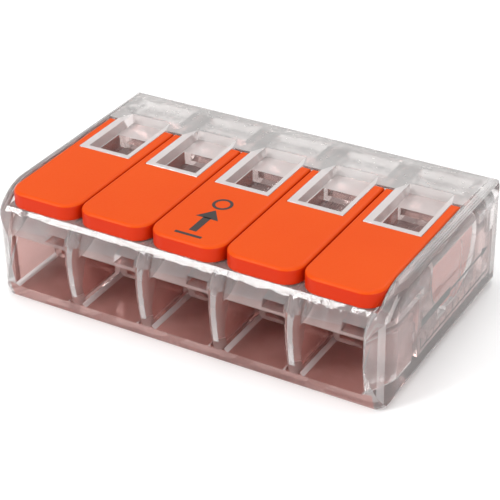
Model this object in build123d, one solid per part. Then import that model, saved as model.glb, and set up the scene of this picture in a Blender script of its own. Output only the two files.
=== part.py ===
from build123d import *
import math
import os

os.makedirs("parts", exist_ok=True)

# Driving dimensions, millimetres. X runs along the row of poles, -Y is the wire side, Z is up.
POLES = 5
PITCH = 5.6
CHEEK = 0.95
WIDTH = POLES * PITCH + 2 * CHEEK
DEPTH = 18.6
HEIGHT = 8.3
FRONT = -DEPTH / 2
REAR = DEPTH / 2
NOSE_R = 3.7
NOSE_Y = FRONT + NOSE_R
NOSE_Z = HEIGHT - NOSE_R
FOOT_BACK = 0.75
EDGE_ROUND = 0.95
FRONT_CORNER = 1.9
REAR_CORNER = 1.15
FIT = 0.05

# Lever pivot, shared by the drums of the housing and the discs of the levers.
PIVOT_Y = 1.72
PIVOT_Z = 5.85
DISC_R = 3.42
RECESS_R = 3.48
PLATE_HOLLOW_R = 3.46
ARM_CLEAR_R = 1.24
DECK_Z = 7.05

# Widths measured from the middle of one pole.
DRUM_HALF = 2.08
DISC_IN = 2.12
DISC_OUT = 2.54
WALL_IN = 2.58
LEVER_HALF = 2.76
SLOT_HALF = (POLES - 1) / 2 * PITCH + 2.81

# Lever plate.
LEVER_TOP = 8.28
LEVER_UNDER = 7.15
LEVER_NOSE = -8.42
ARM_END = 4.14
LEVER_CORNER = 1.35
LEVER_ROUND = 0.27

# Wire entry, guide hole and clamping chamber.
MOUTH_HALF = 2.28
MOUTH_FLOOR = 1.05
MOUTH_TOP = 5.15
MOUTH_END = -4.3
MOUTH_CORNER = 0.3
GUIDE_R = 1.4
GUIDE_Z = 2.9
FIN_DEPTH_Y = -8.1
FIN_ROUND = 0.38
PANEL_INSET = 0.4
PANEL_TOP = 6.75
GUIDE_START = -4.0
CHAMBER_FRONT = -3.35
FLOOR = 0.95
CEILING = 5.3

# Window between the arms of a lever: a shallow tray with a deeper pocket at its front.
TRAY = (-1.5, 1.75, -0.33, 5.3, 7.55)
POCKET = (-1.38, 1.6, -0.2, 3.2, 6.6)

# Slot for a test probe, over the right half of the wire entry.
PROBE_X = (0.5, 2.05)
PROBE_Z = (5.35, 5.9)
PROBE_STEP_Z = 5.2
PROBE_Y = (-3.25, -2.6)

# Room in the housing for the lever arms and for the tabs of the spring.
SWING_Y = (-4.0, 8.0)
ARM_PIT_Y = 2.9
ARM_PIT_Z = 3.3
TAB_ROOM = 2.5
TAB_ROOM_Y = (-0.6, 0.85)
TAB_ROOM_Z = (2.2, 4.4)

# Rear cover and the recess it closes.
COVER_HALF = 13.9
COVER_Y = 8.3
COVER_Z = (0.9, 7.2)
CATCH_POCKET = (1.95, 6.2, 5.95)
PLUG_HALF = 2.03
PLUG_Y = 7.3
PLUG_Z = (1.75, 5.25)
PLUG_HOLLOW = (1.4, 8.0, 2.4, 4.6)
CATCH = (1.88, 7.6, 6.0, 6.6)
PANEL = (1.5, 8.95, 2.2, 5.9)
TONGUE_X = (13.2, 13.9)
TONGUE_Z = (4.85, 6.65)
BARB_X = (13.8, 14.4)
BARB_Y = (7.25, 7.75)

# Current bar and clamping spring.
BAR_T = 0.7
BAR_ROOM = 12.0
BAR_FRONT = -1.2
BAR_REAR = 4.2
FRAME_Y = 6.1
FRAME_T = 0.5
FRAME_HALF = 1.9
FRAME_TOP = 4.95
FRAME_OPEN_HALF = 1.15
FRAME_OPEN_TOP = 4.3
GROOVE_R = 0.12
GROOVE_LENGTH = 2.8
GROOVE_Y = (-0.4, 0.4, 1.2)
STRIP_T = 0.3
STRIP_HALF = 1.6
BOW_Y = -2.5
BOW_Z = 4.52
BOW_R = 0.6
HOOK_R = 0.3
HOOK_HALF = 1.1
HOOK_TIP = 4.35
LEG_FALL = 27.1
LEG_LENGTH = 4.79
LEG_LIFT = 30.0
LEG_HOLE = (1.5, 1.4, 1.0)
TAB_AT = 2.9
TAB_OUT = 2.45
TAB_WIDE = 0.45
CAM_WIDE = 0.68
CAM_STEPS = 12
LEVER_TURN = 90.0

# Length of a cutting tool that must pass right through, and the gap that counts as touching.
FAR = 20.0
NEAR = 0.1

POLE_X = [(i - (POLES - 1) / 2) * PITCH for i in range(POLES)]


def block(x0, x1, y0, y1, z0, z1):
    size = Box(x1 - x0, y1 - y0, z1 - z0)
    return Pos((x0 + x1) / 2, (y0 + y1) / 2, (z0 + z1) / 2) * size


def drum(radius, x0, x1, y=PIVOT_Y, z=PIVOT_Z):
    return Pos((x0 + x1) / 2, y, z) * (Rot(0, 90, 0) * Cylinder(radius, x1 - x0))


def across(sketch, x0, x1):
    """Extrude a side-view sketch, drawn as (y, z), from x0 to x1."""
    return Pos(x0, 0, 0) * extrude(Plane.YZ * sketch, amount=x1 - x0)


def front_line(inset):
    """Side view of the wire side, pulled in by inset: up the front and round the nose."""
    r = NOSE_R - inset
    y0 = FRONT + inset
    bend_r = (FOOT_BACK**2 + NOSE_Z**2) / (2 * FOOT_BACK)
    half = math.asin(NOSE_Z / bend_r) / 2
    belly = (y0 + bend_r * (1 - math.cos(half)), NOSE_Z - bend_r * math.sin(half))
    slant = math.sin(math.pi / 4)
    brow = (NOSE_Y - r * slant, NOSE_Z + r * slant)
    rise = ThreePointArc((y0 + FOOT_BACK, 0), belly, (y0, NOSE_Z))
    return rise + ThreePointArc((y0, NOSE_Z), brow, (NOSE_Y, NOSE_Z + r))


def side_view(inset):
    """Side view of the housing, with only its wire side rounded."""
    outline = front_line(inset)
    if inset > 0:
        outline += Line((NOSE_Y, HEIGHT - inset), (NOSE_Y, HEIGHT))
    outline += Polyline((NOSE_Y, HEIGHT), (REAR, HEIGHT), (REAR, 0), (FRONT + inset + FOOT_BACK, 0))
    return make_face(outline)


def outer_shell():
    blank = across(side_view(0), -WIDTH / 2, WIDTH / 2)
    rim = []
    for edge in blank.edges():
        middle = edge.center()
        if abs(middle.X) > WIDTH / 2 - NEAR and middle.Z > NEAR and middle.Y < REAR - NEAR:
            rim.append(edge)
    blank = fillet(rim, EDGE_ROUND)
    plan = Rectangle(WIDTH, DEPTH)
    plan = fillet(plan.vertices().filter_by(lambda v: v.Y < 0), FRONT_CORNER)
    plan = fillet(plan.vertices().filter_by(lambda v: v.Y > REAR - NEAR), REAR_CORNER)
    plan = Pos(0, 0, -FAR) * extrude(plan, amount=2 * FAR)
    ends = RectangleRounded(WIDTH, HEIGHT, EDGE_ROUND)
    ends = Pos(0, DEPTH, HEIGHT / 2) * (Rot(90, 0, 0) * extrude(ends, amount=2 * DEPTH))
    top_y = REAR - EDGE_ROUND
    top_z = HEIGHT - EDGE_ROUND
    sharp = block(-FAR, FAR, top_y, REAR + 1, top_z, HEIGHT + 1)
    sharp -= drum(EDGE_ROUND, -FAR, FAR, top_y, top_z)
    return (blank & plan & ends) - sharp


def keep_blocks():
    """What stays of the housing between the arms of each lever."""
    parts = []
    for x in POLE_X:
        parts.append(drum(DISC_R, x - DRUM_HALF, x + DRUM_HALF))
        parts.append(block(x - DRUM_HALF, x + DRUM_HALF, PIVOT_Y, FAR, -FAR, FAR))
    return parts


def lever_space():
    front, rear = SWING_Y
    slot = block(-SLOT_HALF, SLOT_HALF, -FAR, PIVOT_Y, DECK_Z, FAR)
    swing = drum(RECESS_R, -SLOT_HALF, SLOT_HALF)
    slot += swing & block(-SLOT_HALF, SLOT_HALF, front, rear, DECK_Z, FAR)
    slot += swing & block(-SLOT_HALF, SLOT_HALF, ARM_PIT_Y, rear, ARM_PIT_Z, DECK_Z + NEAR)
    corner = swing & block(-SLOT_HALF, SLOT_HALF, PIVOT_Y, rear, PIVOT_Z, DECK_Z + NEAR)
    slot += corner - drum(ARM_CLEAR_R, -SLOT_HALF, SLOT_HALF)
    for part in keep_blocks():
        slot -= part
    return slot


def mouth(x):
    opening = RectangleRounded(2 * MOUTH_HALF, MOUTH_TOP - MOUTH_FLOOR, MOUTH_CORNER)
    opening = Rot(90, 0, 0) * extrude(opening, amount=MOUTH_END - FRONT + 1)
    return Pos(x, MOUTH_END, (MOUTH_TOP + MOUTH_FLOOR) / 2) * opening


def guide(x):
    hole = Pos(x, (MOUTH_END + CHAMBER_FRONT) / 2, GUIDE_Z) * (
        Rot(90, 0, 0) * Cylinder(GUIDE_R, CHAMBER_FRONT - MOUTH_END + 2 * NEAR)
    )
    length = GUIDE_START - MOUTH_END
    funnel = Pos(x, (MOUTH_END + GUIDE_START) / 2, GUIDE_Z) * (
        Rot(90, 0, 0) * Cone(GUIDE_R, GUIDE_R + length, length)
    )
    return hole + funnel


def entry_frame(x):
    """Sill of the wire entry and the shallow panel above it, before the mouth is cut."""
    sill = block(x - MOUTH_HALF, x + MOUTH_HALF, FRONT, FIN_DEPTH_Y, MOUTH_FLOOR, MOUTH_FLOOR + MOUTH_CORNER)
    panel = block(x - MOUTH_HALF, x + MOUTH_HALF, FRONT, FIN_DEPTH_Y, MOUTH_TOP - MOUTH_CORNER, PANEL_TOP)
    left = x - MOUTH_HALF
    right = x + MOUTH_HALF
    return (sill & across(side_view(0), left, right)) + (panel & across(side_view(PANEL_INSET), left, right))


def window(x):
    hole = Part()
    for left, right, front, rear, floor in (TRAY, POCKET):
        hole += block(x + left, x + right, front, rear, floor, FAR)
    return hole


def probe_slot(x):
    left, right = PROBE_X
    low, high = PROBE_Z
    step_y, end_y = PROBE_Y
    slot = block(x + left, x + right, -FAR, end_y, low, high)
    return slot + block(x + left, x + right, step_y, end_y, PROBE_STEP_Z, high)


def pair(inner, outer, *rest):
    """The same block on both sides of the middle plane."""
    return block(-outer, -inner, *rest) + block(inner, outer, *rest)


def rounded_fins(body):
    """Opens the front of every pole and rounds the walls left between them."""
    for x in POLE_X:
        body -= block(x - MOUTH_HALF, x + MOUTH_HALF, FRONT - 1, FIN_DEPTH_Y, MOUTH_FLOOR, PANEL_TOP)
    edges = []
    for edge in body.edges():
        middle = edge.center()
        size = edge.bounding_box().size
        on_wall = min(abs(abs(middle.X - x) - MOUTH_HALF) for x in POLE_X) < NEAR
        between = abs(middle.X) < SLOT_HALF - 1
        if on_wall and between and middle.Y < FIN_DEPTH_Y - NEAR and size.Z > 5 * NEAR:
            edges.append(edge)
    return fillet(edges, FIN_ROUND)


def make_housing():
    body = rounded_fins(outer_shell())
    for x in POLE_X:
        body += entry_frame(x)
        body -= mouth(x)
    body -= lever_space()
    body -= block(-COVER_HALF, COVER_HALF, COVER_Y, FAR, *COVER_Z)
    body -= block(-BAR_ROOM, BAR_ROOM, BAR_FRONT - FIT, REAR, FLOOR, FLOOR + BAR_T + FIT)
    catch_half, catch_y, catch_low = CATCH_POCKET
    for x in POLE_X:
        body -= guide(x)
        body -= window(x)
        body -= probe_slot(x)
        body -= block(x - DRUM_HALF, x + DRUM_HALF, CHAMBER_FRONT, REAR, FLOOR, CEILING)
        body -= block(x - catch_half, x + catch_half, catch_y, REAR, catch_low, COVER_Z[1])
        for side in (-1, 1):
            inner, outer = sorted((x + side * DRUM_HALF, x + side * WALL_IN))
            body -= drum(RECESS_R, inner, outer)
        body -= Pos(x, 0, 0) * pair(DRUM_HALF, TAB_ROOM, *TAB_ROOM_Y, *TAB_ROOM_Z)
    body -= pair(*TONGUE_X, BARB_Y[0] - FIT, REAR, *TONGUE_Z)
    body -= pair(*BARB_X, *BARB_Y, TONGUE_Z[0] + FIT, TONGUE_Z[1] - FIT)
    return body


def make_rear_cover():
    low, high = COVER_Z
    front = COVER_Y + FIT
    seat = front + FIT
    cover = block(FIT - COVER_HALF, COVER_HALF - FIT, front, REAR, low + FIT, high - FIT)
    hollow_half, hollow_y, *hollow_z = PLUG_HOLLOW
    catch_half, catch_y, *catch_z = CATCH
    panel_half, panel_y, *panel_z = PANEL
    for x in POLE_X:
        plug = block(x - PLUG_HALF, x + PLUG_HALF, PLUG_Y, seat, *PLUG_Z)
        plug -= block(x - hollow_half, x + hollow_half, PLUG_Y - 1, hollow_y, *hollow_z)
        cover += plug
        cover += block(x - catch_half, x + catch_half, catch_y, seat, *catch_z)
        cover -= block(x - panel_half, x + panel_half, panel_y, FAR, *panel_z)
    low = TONGUE_Z[0] + 2 * FIT
    high = TONGUE_Z[1] - 3 * FIT
    cover += pair(TONGUE_X[0] + 2 * FIT, COVER_HALF - FIT, PLUG_Y, seat, low, high)
    cover += pair(TONGUE_X[1] - 2 * FIT, BARB_X[1] - 2 * FIT, PLUG_Y, BARB_Y[1] - FIT, low, high)
    return cover


def make_busbar():
    reach = POLE_X[-1] + DRUM_HALF - FIT
    low = FLOOR + FIT / 5
    high = FLOOR + BAR_T
    bar = block(-reach, reach, BAR_FRONT, BAR_REAR, low, high)
    back = FRAME_Y + FRAME_T
    for x in POLE_X:
        frame = block(x - FRAME_HALF, x + FRAME_HALF, BAR_REAR - NEAR, back, low, high)
        frame += block(x - FRAME_HALF, x + FRAME_HALF, FRAME_Y, back, low, FRAME_TOP)
        opening = (BAR_REAR + FRAME_T, back + 1, 0, FRAME_OPEN_TOP)
        frame -= block(x - FRAME_OPEN_HALF, x + FRAME_OPEN_HALF, *opening)
        bar += frame
        for y in GROOVE_Y:
            bar -= Pos(x, y, high) * (Rot(0, 90, 0) * Cylinder(GROOVE_R, GROOVE_LENGTH))
    return bar


def leg_start():
    turn = math.radians(270 - LEG_FALL)
    return BOW_Y + BOW_R * math.cos(turn), BOW_Z + BOW_R * math.sin(turn)


def make_spring(x):
    """Anchor leg, hooked over the frame of the current bar, and the bow at the wire side."""
    half_t = STRIP_T / 2
    top = BOW_Z + BOW_R
    hook_y = FRAME_Y + FRAME_T + FIT + half_t
    bend_y = hook_y - HOOK_R
    bend_z = top - HOOK_R
    flat = block(-STRIP_HALF, STRIP_HALF, BOW_Y, bend_y, top - half_t, top + half_t)
    corner = drum(HOOK_R + half_t, -STRIP_HALF, STRIP_HALF, bend_y, bend_z)
    corner -= drum(HOOK_R - half_t, -FAR, FAR, bend_y, bend_z)
    corner &= block(-FAR, FAR, bend_y, FAR, bend_z, FAR)
    hook = block(-HOOK_HALF, HOOK_HALF, hook_y - half_t, hook_y + half_t, HOOK_TIP, bend_z)
    bow = drum(BOW_R + half_t, -STRIP_HALF, STRIP_HALF, BOW_Y, BOW_Z)
    bow -= drum(BOW_R - half_t, -FAR, FAR, BOW_Y, BOW_Z)
    turn = math.radians(269 - LEG_FALL)
    reach = 5 * BOW_R
    wedge = Polyline(
        (BOW_Y, BOW_Z),
        (BOW_Y, BOW_Z + reach),
        (BOW_Y - reach, BOW_Z + reach),
        (BOW_Y - reach, BOW_Z - reach),
        (BOW_Y + reach * math.cos(turn), BOW_Z + reach * math.sin(turn)),
        close=True,
    )
    bow &= across(make_face(wedge), -FAR, FAR)
    return Pos(x, 0, 0) * (flat + corner + hook + bow)


def place_on_leg(shape, along):
    """Put a shape drawn at the origin on the leg's middle line, along millimetres from the bow."""
    y, z = leg_start()
    fall = math.radians(LEG_FALL)
    return Pos(0, y + along * math.cos(fall), z - along * math.sin(fall)) * (Rot(-LEG_FALL, 0, 0) * shape)


def make_leg(x):
    """Clamping leg with the two side tabs that the lever discs lift."""
    leg = place_on_leg(Box(2 * STRIP_HALF, LEG_LENGTH, STRIP_T), LEG_LENGTH / 2)
    leg -= place_on_leg(Box(LEG_HOLE[0], LEG_HOLE[1], 1), LEG_HOLE[2])
    tabs = place_on_leg(Box(2 * TAB_OUT, TAB_WIDE, STRIP_T), TAB_AT)
    return Pos(x, 0, 0) * (leg + tabs)


def cam_path():
    """Where the tab runs over the turning disc, seen from the disc, as (y, z) from the pivot."""
    y, z = leg_start()
    fall = math.radians(LEG_FALL)
    ty = y + TAB_AT * math.cos(fall) - BOW_Y
    tz = z - TAB_AT * math.sin(fall) - BOW_Z
    points = []
    for k in range(-1, CAM_STEPS + 1):
        lift = math.radians(LEG_LIFT) * max(k, 0) / CAM_STEPS
        turn = math.radians(LEVER_TURN) * k / CAM_STEPS
        wy = BOW_Y + ty * math.cos(lift) - tz * math.sin(lift) - PIVOT_Y
        wz = BOW_Z + ty * math.sin(lift) + tz * math.cos(lift) - PIVOT_Z
        points.append((wy * math.cos(turn) - wz * math.sin(turn), wy * math.sin(turn) + wz * math.cos(turn)))
    return points


def cam_slot():
    points = cam_path()
    face = Sketch()
    for a, b in zip(points, points[1:]):
        middle = ((a[0] + b[0]) / 2, (a[1] + b[1]) / 2)
        angle = math.degrees(math.atan2(b[1] - a[1], b[0] - a[0]))
        span = math.hypot(b[0] - a[0], b[1] - a[1])
        face += Pos(*middle) * (Rot(0, 0, angle) * SlotOverall(span + CAM_WIDE, CAM_WIDE))
    return Pos(0, PIVOT_Y, PIVOT_Z) * across(face, -FAR, FAR)


def make_lever():
    plan = Rectangle(2 * LEVER_HALF, ARM_END - LEVER_NOSE)
    plan = fillet(plan.vertices().filter_by(lambda v: v.Y < 0), LEVER_CORNER)
    plan = Pos(0, (ARM_END + LEVER_NOSE) / 2, LEVER_UNDER) * extrude(plan, amount=LEVER_TOP - LEVER_UNDER)
    top_edges = plan.edges().filter_by(lambda e: e.center().Z > LEVER_TOP - NEAR)
    plan = fillet(top_edges, LEVER_ROUND)
    plan -= block(-DISC_IN, DISC_IN, PIVOT_Y, FAR, 0, FAR) + drum(PLATE_HOLLOW_R, -DISC_IN, DISC_IN)
    lever = plan
    round_top = block(-FAR, FAR, -FAR, FAR, -FAR, LEVER_TOP - LEVER_ROUND)
    for side in (-1, 1):
        inner, outer = sorted((side * DISC_IN, side * DISC_OUT))
        disc = drum(DISC_R, inner, outer) & round_top
        disc -= cam_slot()
        lever += disc
    return lever


def save(shape, name):
    shape.label = name
    export_step(shape, "parts/" + name + ".step")


save(make_housing(), "housing")
save(make_rear_cover(), "rear_cover")
save(make_busbar(), "busbar")
LEVER = make_lever()
for number, x in enumerate(POLE_X, 1):
    save(Pos(x, 0, 0) * LEVER, f"lever_{number}")
    save(make_spring(x), f"clamp_spring_{number}")
    save(make_leg(x), f"clamping_leg_{number}")
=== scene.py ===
import math

import bmesh
import bpy
from mathutils import Matrix, Vector


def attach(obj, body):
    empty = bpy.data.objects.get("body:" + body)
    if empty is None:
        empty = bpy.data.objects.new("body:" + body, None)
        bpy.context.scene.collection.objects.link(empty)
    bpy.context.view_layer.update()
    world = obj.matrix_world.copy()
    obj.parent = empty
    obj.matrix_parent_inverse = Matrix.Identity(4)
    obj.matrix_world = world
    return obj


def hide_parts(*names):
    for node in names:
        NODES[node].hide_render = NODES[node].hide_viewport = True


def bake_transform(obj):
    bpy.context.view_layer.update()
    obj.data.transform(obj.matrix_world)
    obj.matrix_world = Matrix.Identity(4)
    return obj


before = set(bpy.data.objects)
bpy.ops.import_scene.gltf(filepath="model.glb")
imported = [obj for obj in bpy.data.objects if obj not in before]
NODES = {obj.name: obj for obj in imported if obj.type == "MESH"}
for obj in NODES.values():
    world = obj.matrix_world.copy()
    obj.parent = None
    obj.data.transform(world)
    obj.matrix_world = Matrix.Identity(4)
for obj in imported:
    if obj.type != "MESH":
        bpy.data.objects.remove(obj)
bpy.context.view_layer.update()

MM = 0.001
SCENE = bpy.context.scene

# Millimetres. X runs along the poles, -Y is the wire side, Z is up.
POLES = 5
PITCH = 5.6
POLE_X = [(i - (POLES - 1) / 2) * PITCH for i in range(POLES)]
HEIGHT = 8.3
LEVER_TOP = 8.28


def mm(*values):
    return Vector(values) * MM


# ---------------------------------------------------------------- node helpers

def new_material(name):
    """A material and its node tree, emptied."""
    material = bpy.data.materials.new(name)
    material.use_nodes = True
    tree = material.node_tree
    tree.nodes.clear()
    return material, tree


def object_coords(tree):
    return tree.nodes.new("ShaderNodeTexCoord").outputs["Object"]


def add(tree, kind, **inputs):
    """A new node with its inputs set. An underscore in a keyword stands for a space in the input's name."""
    node = tree.nodes.new(kind)
    for key, value in inputs.items():
        node.inputs[key.replace("_", " ")].default_value = value
    return node


def link(tree, a, b):
    tree.links.new(a, b)


def object_noise(tree, coords, scale, detail, roughness=0.5):
    noise = add(tree, "ShaderNodeTexNoise", Scale=scale, Detail=detail, Roughness=roughness)
    link(tree, coords, noise.inputs["Vector"])
    return noise.outputs["Fac"]


def remap(tree, noise, low, high):
    """Spreads the middle part of a noise over the range from low to high."""
    node = add(tree, "ShaderNodeMapRange", From_Min=0.3, From_Max=0.7, To_Min=low, To_Max=high)
    link(tree, noise, node.inputs["Value"])
    return node.outputs["Result"]


def mix_colour(tree, factor, a, b):
    node = tree.nodes.new("ShaderNodeMix")
    node.data_type = "RGBA"
    node.inputs["A"].default_value = (*a, 1)
    node.inputs["B"].default_value = (*b, 1)
    link(tree, factor, node.inputs["Factor"])
    return node.outputs["Result"]


def use_bump(tree, shader, height, strength, distance):
    node = add(tree, "ShaderNodeBump", Strength=strength, Distance=distance)
    link(tree, height, node.inputs["Height"])
    link(tree, node.outputs["Normal"], shader.inputs["Normal"])


def use_shader(tree, shader):
    out = tree.nodes.new("ShaderNodeOutputMaterial")
    link(tree, shader.outputs["BSDF"], out.inputs["Surface"])


# ---------------------------------------------------------------- materials

def clear_plastic(name, transmission, roughness, pale, shade, wave, ior=1.5):
    """Polycarbonate with faint flow marks: its colour drifts from pale to shade."""
    material, tree = new_material(name)
    coords = object_coords(tree)
    glass = add(tree, "ShaderNodeBsdfPrincipled", IOR=ior)
    glass.inputs["Transmission Weight"].default_value = transmission
    flow = object_noise(tree, coords, scale=300.0, detail=3.0)
    fine = object_noise(tree, coords, scale=2600.0, detail=4.0)
    link(tree, mix_colour(tree, remap(tree, flow, 0.0, 1.0), pale, shade), glass.inputs["Base Color"])
    link(tree, remap(tree, fine, *roughness), glass.inputs["Roughness"])
    use_bump(tree, glass, flow, strength=wave, distance=0.0001)
    use_shader(tree, glass)
    return material


def orange_plastic(name, light, deep):
    material, tree = new_material(name)
    coords = object_coords(tree)
    grain = object_noise(tree, coords, scale=9000.0, detail=3.0, roughness=0.6)
    drift = object_noise(tree, coords, scale=140.0, detail=2.0)
    plastic = add(
        tree, "ShaderNodeBsdfPrincipled", IOR=1.5, Specular_IOR_Level=0.13,
        Subsurface_Weight=0.1, Subsurface_Radius=(1.0, 0.2, 0.06), Subsurface_Scale=0.0005,
    )
    link(tree, mix_colour(tree, drift, deep, light), plastic.inputs["Base Color"])
    link(tree, remap(tree, grain, 0.34, 0.46), plastic.inputs["Roughness"])
    use_bump(tree, plastic, grain, strength=0.12, distance=0.00002)
    use_shader(tree, plastic)
    return material


def metal(name, dark, light, scale, stretch, roughness):
    """Rolled metal: fine lines, drawn out along the axis where stretch is small, and a cloudy colour."""
    material, tree = new_material(name)
    coords = object_coords(tree)
    mapping = add(tree, "ShaderNodeMapping", Scale=stretch)
    link(tree, coords, mapping.inputs["Vector"])
    lines = object_noise(tree, mapping.outputs["Vector"], scale, detail=4.0)
    cloud = object_noise(tree, coords, scale=700.0, detail=3.0)
    rolled = add(tree, "ShaderNodeBsdfPrincipled", Metallic=1.0)
    link(tree, mix_colour(tree, cloud, dark, light), rolled.inputs["Base Color"])
    link(tree, remap(tree, lines, *roughness), rolled.inputs["Roughness"])
    use_bump(tree, rolled, lines, strength=0.2, distance=0.00003)
    use_shader(tree, rolled)
    return material


def ink():
    material, tree = new_material("printing_ink")
    coords = object_coords(tree)
    worn = object_noise(tree, coords, scale=4000.0, detail=4.0)
    paint = add(tree, "ShaderNodeBsdfPrincipled")
    link(tree, mix_colour(tree, worn, (0.012, 0.01, 0.01), (0.05, 0.035, 0.03)), paint.inputs["Base Color"])
    link(tree, remap(tree, worn, 0.45, 0.65), paint.inputs["Roughness"])
    use_shader(tree, paint)
    return material


def floor_white():
    material, tree = new_material("floor_white")
    shade = add(tree, "ShaderNodeBsdfPrincipled", Roughness=0.9, Specular_IOR_Level=0.1)
    shade.inputs["Base Color"].default_value = (0.97, 0.97, 0.97, 1)
    use_shader(tree, shade)
    return material


CLEAR = clear_plastic(
    "clear_polycarbonate", transmission=0.9, roughness=(0.02, 0.07),
    pale=(0.97, 0.945, 0.94), shade=(0.9, 0.85, 0.84), wave=0.35,
)
DECK = clear_plastic(
    "clear_polycarbonate_textured", transmission=0.54, roughness=(0.16, 0.28),
    pale=(0.8, 0.785, 0.775), shade=(0.64, 0.622, 0.612), wave=0.08,
)
# Painted shade and painted reflection: a mauve-brown tint for the insides of the wire entries and the sill,
# standing in for their shade and the orange levers' reflected light
ENTRY_PAINTED_SHADE = clear_plastic(
    "clear_polycarbonate_inside_painted_shade", transmission=0.7, roughness=(0.06, 0.18),
    pale=(0.78, 0.4, 0.36), shade=(0.52, 0.235, 0.205), wave=0.9,
)
# Painted highlight: a near-white haze on the window rims and the lower corners of the entries, standing in
# for bright reflections
EDGE_PAINTED_HIGHLIGHT = clear_plastic(
    "clear_polycarbonate_edge_painted_highlight", transmission=0.5, roughness=(0.05, 0.14),
    pale=(1.0, 0.975, 0.97), shade=(0.96, 0.9, 0.89), wave=0.3,
)
LEDGE = clear_plastic(
    "clear_polycarbonate_ledge", transmission=0.84, roughness=(0.03, 0.12),
    pale=(0.97, 0.94, 0.935), shade=(0.86, 0.8, 0.79), wave=1.5,
)
# Painted highlight: a white haze for the bright streaks on the fronts of the fins and on the rounded front
# corners
STREAK_PAINTED_HIGHLIGHT = clear_plastic(
    "clear_polycarbonate_painted_highlight_streak", transmission=0.72, roughness=(0.06, 0.16),
    pale=(1.0, 0.97, 0.965), shade=(0.82, 0.76, 0.75), wave=0.6,
)
# Painted shade and painted reflection: a pink tint on the sides of the fins, standing in for shade and the
# orange levers' reflected light
FIN_PAINTED_SHADE = clear_plastic(
    "clear_polycarbonate_fin_painted_shade", transmission=0.8, roughness=(0.04, 0.12),
    pale=(0.86, 0.56, 0.52), shade=(0.7, 0.42, 0.385), wave=0.5, ior=1.18,
)
# Painted highlight: a near-white haze on the window trays, standing in for their bright reflections
WINDOW_PAINTED_HIGHLIGHT = clear_plastic(
    "clear_polycarbonate_window_painted_highlight", transmission=0.56, roughness=(0.04, 0.12),
    pale=(1.0, 0.96, 0.95), shade=(0.95, 0.86, 0.845), wave=0.5,
)
# Painted shade and painted reflection: a pink tint on the pockets under the windows and the panels under
# the ledge, standing in for shade and the orange levers' reflected light
PANEL_PAINTED_SHADE = clear_plastic(
    "clear_polycarbonate_panel_painted_shade", transmission=0.8, roughness=(0.04, 0.12),
    pale=(0.93, 0.76, 0.73), shade=(0.72, 0.52, 0.49), wave=1.4,
)
ORANGE = orange_plastic("orange_moulded_plastic", light=(0.68, 0.076, 0.003), deep=(0.63, 0.06, 0.002))
# Painted shade: a darker, redder copy of the orange for the steep plate faces, which face away from the
# overhead light
ORANGE_PAINTED_SHADE = orange_plastic(
    "orange_moulded_plastic_painted_shade", light=(0.58, 0.03, 0.002), deep=(0.52, 0.022, 0.0015),
)
TINNED = metal(
    "tinned_copper", dark=(0.62, 0.58, 0.55), light=(0.8, 0.77, 0.74),
    scale=2500.0, stretch=(0.15, 1, 1), roughness=(0.26, 0.44),
)
STEEL = metal(
    "spring_steel", dark=(0.5, 0.5, 0.51), light=(0.68, 0.68, 0.69),
    scale=3500.0, stretch=(1, 0.12, 1), roughness=(0.2, 0.38),
)
INK = ink()


# ---------------------------------------------------------------- finishes of the CAD nodes, with painted light and shade

SHARP_ANGLE = 30
FAR = 100.0
ANY = (-FAR, FAR)


def below(limit):
    return -FAR, limit


def above(limit):
    return limit, FAR


def zone(finish, off=ANY, side=ANY, y=ANY, z=ANY, up=ANY, forward=ANY, sideways=ANY):
    """A finish and the faces that have it.

    off, side, y and z are ranges of where the middle of a face is, in millimetres. off is its distance
    from the middle plane of the nearest pole, and side from that of the housing. The others are ranges of
    how far the normal leans upward, towards the wire side and to either side.
    """
    return finish, (off, side, y, z, up, forward, sideways)


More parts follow.
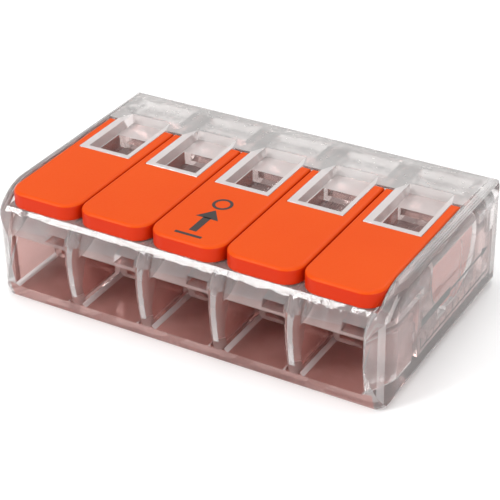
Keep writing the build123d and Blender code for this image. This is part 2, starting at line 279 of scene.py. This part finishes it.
# A face has the finish of the first zone that it lies in, and is plain clear where it lies in none.
WINDOW_OFF = below(2.1)
WINDOW_Y = (-0.9, 5.4)
FIN_OFF = (2.25, 2.85)
FIN_FRONT_OFF = (2.6, 2.85)
INNER_FINS = below(12.0)
HOUSING_ZONES = (
    # Rims of the windows, then the lower corners of the wire entries, both whitened as painted highlight
    zone(EDGE_PAINTED_HIGHLIGHT, off=WINDOW_OFF, y=(-0.9, 3.2), z=above(7.9), up=above(0.2)),
    zone(EDGE_PAINTED_HIGHLIGHT, off=above(1.9), y=(-9.0, -4.3), z=below(1.4), up=(0.15, 0.99)),
    # Window trays, whitened as painted highlight, then the pockets under them, tinted pink as painted shade
    # and painted reflection of the orange levers
    zone(WINDOW_PAINTED_HIGHLIGHT, off=WINDOW_OFF, y=WINDOW_Y, z=above(7.5)),
    zone(PANEL_PAINTED_SHADE, off=WINDOW_OFF, y=WINDOW_Y, z=above(6.7)),
    # Textured deck behind the windows
    zone(DECK, y=above(3.0), z=above(7.9), up=above(0.3)),
    # Ledge in front of the levers, then the inset panels under it, tinted pink as painted shade and painted
    # reflection of the orange levers
    zone(LEDGE, side=below(14.6), y=below(-6.0), z=(5.6, 7.4), up=above(0.1)),
    zone(PANEL_PAINTED_SHADE, off=below(2.3), y=below(-7.4), z=(5.1, 6.9)),
    # Fronts of the fins between the entries and the rounded front corners, whitened as painted highlight
    # streaks, then the sides of the fins, tinted pink as painted shade and painted reflection
    zone(STREAK_PAINTED_HIGHLIGHT, off=FIN_FRONT_OFF, side=INNER_FINS, z=(1.6, 6.8), forward=above(0.93)),
    zone(STREAK_PAINTED_HIGHLIGHT, side=above(13.0), y=below(-7.0), sideways=(0.66, 0.8)),
    zone(FIN_PAINTED_SHADE, off=FIN_OFF, side=INNER_FINS, y=below(-7.9), z=(1.1, 6.7)),
    # Wire entries, clamping chambers and the sill under the entries, tinted mauve-brown as painted shade
    # and painted reflection of the orange levers
    zone(ENTRY_PAINTED_SHADE, off=below(2.3), y=(-8.8, -3.3), z=(0.9, 5.2)),
    zone(ENTRY_PAINTED_SHADE, off=below(2.1), y=(-3.4, 8.0), z=(0.9, 5.35)),
    zone(ENTRY_PAINTED_SHADE, side=below(13.8), y=below(-8.0), z=below(1.2)),
)
HOUSING_SLOTS = (CLEAR, DECK, ENTRY_PAINTED_SHADE, EDGE_PAINTED_HIGHLIGHT, STREAK_PAINTED_HIGHLIGHT, LEDGE, PANEL_PAINTED_SHADE, FIN_PAINTED_SHADE, WINDOW_PAINTED_HIGHLIGHT)

# The deeper, redder orange is painted shade for the steep faces of a lever's plate, clear of its discs.
PLATE_FLOOR = 7.1
DISC_FRONT = -2.0
DISC_OUTSIDE = 2.6
STEEP = 0.35


def dress(node, *slots):
    """Fills a CAD node's material slots, and shades it smooth between its sharp edges."""
    mesh = NODES[node].data
    mesh.materials.clear()
    for material in slots:
        mesh.materials.append(material)
    mesh.shade_smooth()
    mesh.set_sharp_from_angle(angle=math.radians(SHARP_ANGLE))
    return mesh


def housing_finish(place, normal):
    off = min(abs(place.x - x) for x in POLE_X)
    measures = (off, abs(place.x), place.y, place.z, normal.z, -normal.y, abs(normal.x))
    for finish, ranges in HOUSING_ZONES:
        if all(low < value < high for value, (low, high) in zip(measures, ranges)):
            return finish
    return CLEAR


def dress_housing():
    mesh = dress("housing", *HOUSING_SLOTS)
    for face in mesh.polygons:
        finish = housing_finish(face.center / MM, face.normal)
        face.material_index = HOUSING_SLOTS.index(finish)


def dress_lever(number):
    mesh = dress(f"lever_{number}", ORANGE, ORANGE_PAINTED_SHADE)
    for face in mesh.polygons:
        place = face.center / MM
        clear_of_disc = place.y < DISC_FRONT or abs(place.x - POLE_X[number - 1]) > DISC_OUTSIDE
        # Steep plate faces get the painted-shade orange
        if place.z > PLATE_FLOOR and clear_of_disc and abs(face.normal.z) < STEEP:
            face.material_index = 1


dress_housing()
dress("rear_cover", CLEAR)
dress("busbar", TINNED)
for number in range(1, POLES + 1):
    dress_lever(number)


# ---------------------------------------------------------------- clamping springs

STRIP_T = 0.3
STRIP_ROUND = 0.05
STRIP_ROUND_ANGLE = 50
STRIP_SHARP_ANGLE = 40
STRIP_HALF = 1.6
HOOK_HALF = 1.1
HOLE_HALF = 0.75
TAB_HALF = 2.45
HALVES = (TAB_HALF, STRIP_HALF, HOOK_HALF, HOLE_HALF)
COLUMNS = [-half for half in HALVES] + list(reversed(HALVES))

# Middle line of the strip, seen from the side
HOOK_Y = 6.8
HOOK_R = 0.3
HOOK_END_Z = 4.35
HOOK_MIDDLE_Z = 4.6
HOOK_STEPS = 6
BAND_STEPS = 10
BOW_Y = -2.5
BOW_Z = 4.52
BOW_R = 0.6
BOW_STEPS = 18
LEG_FALL = 27.1
LEG_ROWS = (
    (0.0, "band"), (0.3, "hole"), (1.0, "hole"), (1.7, "band"), (2.2, "band"),
    (2.675, "tab"), (3.125, "band"), (3.8, "band"), (4.3, "band"), (4.79, "band"),
)


def arc_points(u, v, radius, start, turn, steps):
    """Points on an arc about (u, v), from the angle start through turn, both in degrees."""
    angles = [math.radians(start + turn * step / steps) for step in range(steps + 1)]
    return [(u + radius * math.cos(angle), v + radius * math.sin(angle)) for angle in angles]


def strip_path():
    """Side view of the strip's middle line as (y, z, part), from the hook to the tip of the leg."""
    band_z = BOW_Z + BOW_R
    corner_y = HOOK_Y - HOOK_R
    corner = arc_points(corner_y, band_z - HOOK_R, HOOK_R, 0, 90, HOOK_STEPS)
    bow = arc_points(BOW_Y, BOW_Z, BOW_R, 90, 180 - LEG_FALL, BOW_STEPS)
    points = [(HOOK_Y, HOOK_END_Z, "hook"), (HOOK_Y, HOOK_MIDDLE_Z, "hook")]
    points += [(y, z, "band") for y, z in corner]
    for step in range(1, BAND_STEPS):
        points.append((corner_y + (BOW_Y - corner_y) * step / BAND_STEPS, band_z, "band"))
    points += [(y, z, "band") for y, z in bow[:-1]]
    y, z = bow[-1]
    fall = math.radians(LEG_FALL)
    for along, part in LEG_ROWS:
        points.append((y + along * math.cos(fall), z - along * math.sin(fall), part))
    return points


def column_kept(part, left, right):
    """Whether the strip has metal between two columns, in one part of it."""
    middle = abs(left + right) / 2
    if part == "hook":
        return middle < HOOK_HALF
    if part == "tab":
        return True
    if part == "hole":
        return HOLE_HALF < middle < STRIP_HALF
    return middle < STRIP_HALF


def new_object(name, bm):
    """Turns a bmesh into an object of the scene."""
    bmesh.ops.recalc_face_normals(bm, faces=bm.faces)
    mesh = bpy.data.meshes.new(name)
    bm.to_mesh(mesh)
    bm.free()
    obj = bpy.data.objects.new(name, mesh)
    SCENE.collection.objects.link(obj)
    return obj


def finished_mesh(obj):
    """Applies the object's modifiers to its mesh."""
    bpy.context.view_layer.update()
    graph = bpy.context.evaluated_depsgraph_get()
    mesh = bpy.data.meshes.new_from_object(obj.evaluated_get(graph))
    obj.modifiers.clear()
    obj.data = mesh
    return mesh


def strip_surface(x0):
    """The strip's middle surface, with its window, hook and tabs cut out of one grid."""
    path = strip_path()
    bm = bmesh.new()
    grid = [[bm.verts.new(mm(x0 + x, y, z)) for x in COLUMNS] for y, z, _ in path]
    for row in range(len(path) - 1):
        for column in range(len(COLUMNS) - 1):
            if column_kept(path[row][2], COLUMNS[column], COLUMNS[column + 1]):
                bm.faces.new((
                    grid[row][column], grid[row][column + 1],
                    grid[row + 1][column + 1], grid[row + 1][column],
                ))
    bmesh.ops.delete(bm, geom=[v for v in bm.verts if not v.link_faces], context="VERTS")
    return bm


def make_strip(number):
    """One bent strip for the fixed and the moving half of a spring. It bends smoothly at the bow."""
    x0 = POLE_X[number - 1]
    strip = new_object(f"spring_strip_{number}", strip_surface(x0))
    solid = strip.modifiers.new("solid", "SOLIDIFY")
    solid.thickness = STRIP_T * MM
    solid.offset = 0.0
    solid.use_even_offset = True
    edge = strip.modifiers.new("edge", "BEVEL")
    edge.width = STRIP_ROUND * MM
    edge.segments = 2
    edge.limit_method = "ANGLE"
    edge.angle_limit = math.radians(STRIP_ROUND_ANGLE)
    mesh = finished_mesh(strip)
    mesh.materials.clear()
    mesh.materials.append(STEEL)
    mesh.shade_smooth()
    mesh.set_sharp_from_angle(angle=math.radians(STRIP_SHARP_ANGLE))
    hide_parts(f"clamp_spring_{number}", f"clamping_leg_{number}")
    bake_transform(strip)


for number in range(1, POLES + 1):
    make_strip(number)


# ---------------------------------------------------------------- printed marks

LEVER_INK = 0.006
LEVER_MARK_Y = -4.9
SIDE_INK = 0.004

# The gauges lie just under the outer faces of the clear cheeks.
GAUGE_X = 14.93
GAUGE_Y = 1.6
GAUGE_Z = 2.0
GAUGE_HALF = 5.5
GAUGE_LINE = 0.14
GAUGE_TICKS = 12
TICK_HALF = 0.05
TICK_SHORT = 0.45
TICK_LONG = 0.75


def flat_piece(name, outlines, place, across, upward, body, thickness):
    """Thin inked shapes. Outlines are lists of (u, v) in millimetres, along across and upward."""
    across = Vector(across)
    upward = Vector(upward)
    out = across.cross(upward)
    bm = bmesh.new()
    for outline in outlines:
        low = [bm.verts.new(mm(*place) + (across * u + upward * v) * MM) for u, v in outline]
        face = bm.faces.new(low)
        raised = bmesh.ops.extrude_face_region(bm, geom=[face])
        for item in raised["geom"]:
            if isinstance(item, bmesh.types.BMVert):
                item.co += out * thickness * MM
    piece = new_object(name, bm)
    piece.data.materials.append(INK)
    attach(piece, body)


def bar(u0, v0, u1, v1):
    return [(u0, v0), (u1, v0), (u1, v1), (u0, v1)]


def ring(u, v, radius, width, steps=28):
    """Four-sided pieces that make up a ring."""
    outer = arc_points(u, v, radius, 0, 360, steps)
    inner = arc_points(u, v, radius - width, 0, 360, steps)
    return [[inner[k], outer[k], outer[k + 1], inner[k + 1]] for k in range(steps)]


def lever_mark():
    """Insert-wire sign: an arrow that points into a ring, over a short bar."""
    shaft = bar(-0.28, -2.1, 0.28, -0.2)
    head = [(-0.85, -0.3), (0.85, -0.3), (0.0, 0.85)]
    foot = bar(-1.0, -2.75, 1.0, -2.5)
    shapes = [shaft, head, *ring(0.0, 1.75, radius=0.72, width=0.22), foot]
    place = (0, LEVER_MARK_Y, LEVER_TOP)
    flat_piece("mark_lever_3", shapes, place, (1, 0, 0), (0, 1, 0), "lever_3_body", LEVER_INK)


def strip_gauge(name, x, facing):
    """A ruled gauge for the stripped length, with a wire sign over it."""
    shapes = [bar(-GAUGE_HALF, 0.0, GAUGE_HALF, GAUGE_LINE)]
    for k in range(GAUGE_TICKS):
        u = k - GAUGE_HALF
        height = TICK_LONG if k % 5 == 0 else TICK_SHORT
        shapes.append(bar(u - TICK_HALF, GAUGE_LINE, u + TICK_HALF, GAUGE_LINE + height))
    insulation = bar(-GAUGE_HALF, 1.7, -1.0, 2.3)
    conductor = bar(-1.0, 1.9, 4.2, 2.1)
    arrow = [(4.2, 1.6), (5.2, 2.0), (4.2, 2.4)]
    shapes += [insulation, conductor, arrow]
    flat_piece(name, shapes, (x, GAUGE_Y, GAUGE_Z), (0, facing, 0), (0, 0, 1), "base", SIDE_INK)


lever_mark()
strip_gauge("mark_right_side", GAUGE_X, 1)
strip_gauge("mark_left_side", -GAUGE_X, -1)


# ---------------------------------------------------------------- floor, light and camera

# Metres
FLOOR_HALF = 1.5
FLOOR_DROP = 0.00002
WORLD_STRENGTH = 0.58
LIGHTS = (
    # name, place, size of the square, power in watts
    ("overhead", (-0.02, 0.02, 0.34), 0.24, 0.42),
    ("ledge_glint", (-0.13, -0.196, 0.177), 0.09, 0.42),
    ("fill", (0.3, -0.16, 0.14), 0.14, 0.4),
    ("back", (0.05, 0.3, 0.24), 0.26, 0.3),
)

# Degrees and millimetres. The camera stands off from the middle of the object by its distance, and is then
# shifted sideways and up in its own frame without turning.
CAMERA_AZIMUTH = 30.437
CAMERA_ELEVATION = 31.264
CAMERA_ROLL = -1.090
CAMERA_DISTANCE = 111.08
CAMERA_RIGHT = 0.167
CAMERA_UP = -0.9216
CAMERA_LENS = 115.8
CAMERA_SENSOR = 36.0
CAMERA_NEAR = 5.0


def make_floor():
    mesh = bpy.data.meshes.new("floor")
    half = FLOOR_HALF
    corners = [(-half, -half, 0), (half, -half, 0), (half, half, 0), (-half, half, 0)]
    mesh.from_pydata(corners, [], [(0, 1, 2, 3)])
    floor = bpy.data.objects.new("floor", mesh)
    SCENE.collection.objects.link(floor)
    mesh.materials.append(floor_white())
    floor.location.z = -FLOOR_DROP


def make_light(name, place, size, power):
    """A square lamp that points at the origin."""
    data = bpy.data.lights.new(name, "AREA")
    data.energy = power
    data.size = size
    lamp = bpy.data.objects.new(name, data)
    lamp.location = place
    lamp.rotation_euler = (-Vector(place)).to_track_quat("-Z", "Y").to_euler()
    SCENE.collection.objects.link(lamp)


def make_world():
    world = bpy.data.worlds.new("studio")
    world.use_nodes = True
    background = world.node_tree.nodes["Background"]
    background.inputs["Color"].default_value = (1, 1, 1, 1)
    background.inputs["Strength"].default_value = WORLD_STRENGTH
    SCENE.world = world


def make_camera():
    azimuth = math.radians(CAMERA_AZIMUTH)
    elevation = math.radians(CAMERA_ELEVATION)
    roll = math.radians(CAMERA_ROLL)
    back = Vector((
        math.sin(azimuth) * math.cos(elevation),
        -math.cos(azimuth) * math.cos(elevation),
        math.sin(elevation),
    ))
    level_right = Vector((math.cos(azimuth), math.sin(azimuth), 0))
    level_up = back.cross(level_right)
    right = level_right * math.cos(roll) + level_up * math.sin(roll)
    up = level_up * math.cos(roll) - level_right * math.sin(roll)
    offset = back * CAMERA_DISTANCE + right * CAMERA_RIGHT + up * CAMERA_UP
    place = mm(0, 0, HEIGHT / 2) + offset * MM
    data = bpy.data.cameras.new("camera")
    data.sensor_width = CAMERA_SENSOR
    data.lens = CAMERA_LENS
    data.clip_start = CAMERA_NEAR * MM
    camera = bpy.data.objects.new("camera", data)
    camera.matrix_world = Matrix((
        (right.x, up.x, back.x, place.x),
        (right.y, up.y, back.y, place.y),
        (right.z, up.z, back.z, place.z),
        (0, 0, 0, 1),
    ))
    SCENE.collection.objects.link(camera)
    SCENE.camera = camera


# Clear plastic behind clear plastic needs more bounces than Blender's defaults, or it shows dark patches
SCENE.view_settings.view_transform = "Standard"
SCENE.cycles.max_bounces = 28
SCENE.cycles.transmission_bounces = 28
SCENE.cycles.glossy_bounces = 12
make_floor()
make_world()
for light in LIGHTS:
    make_light(*light)
make_camera()
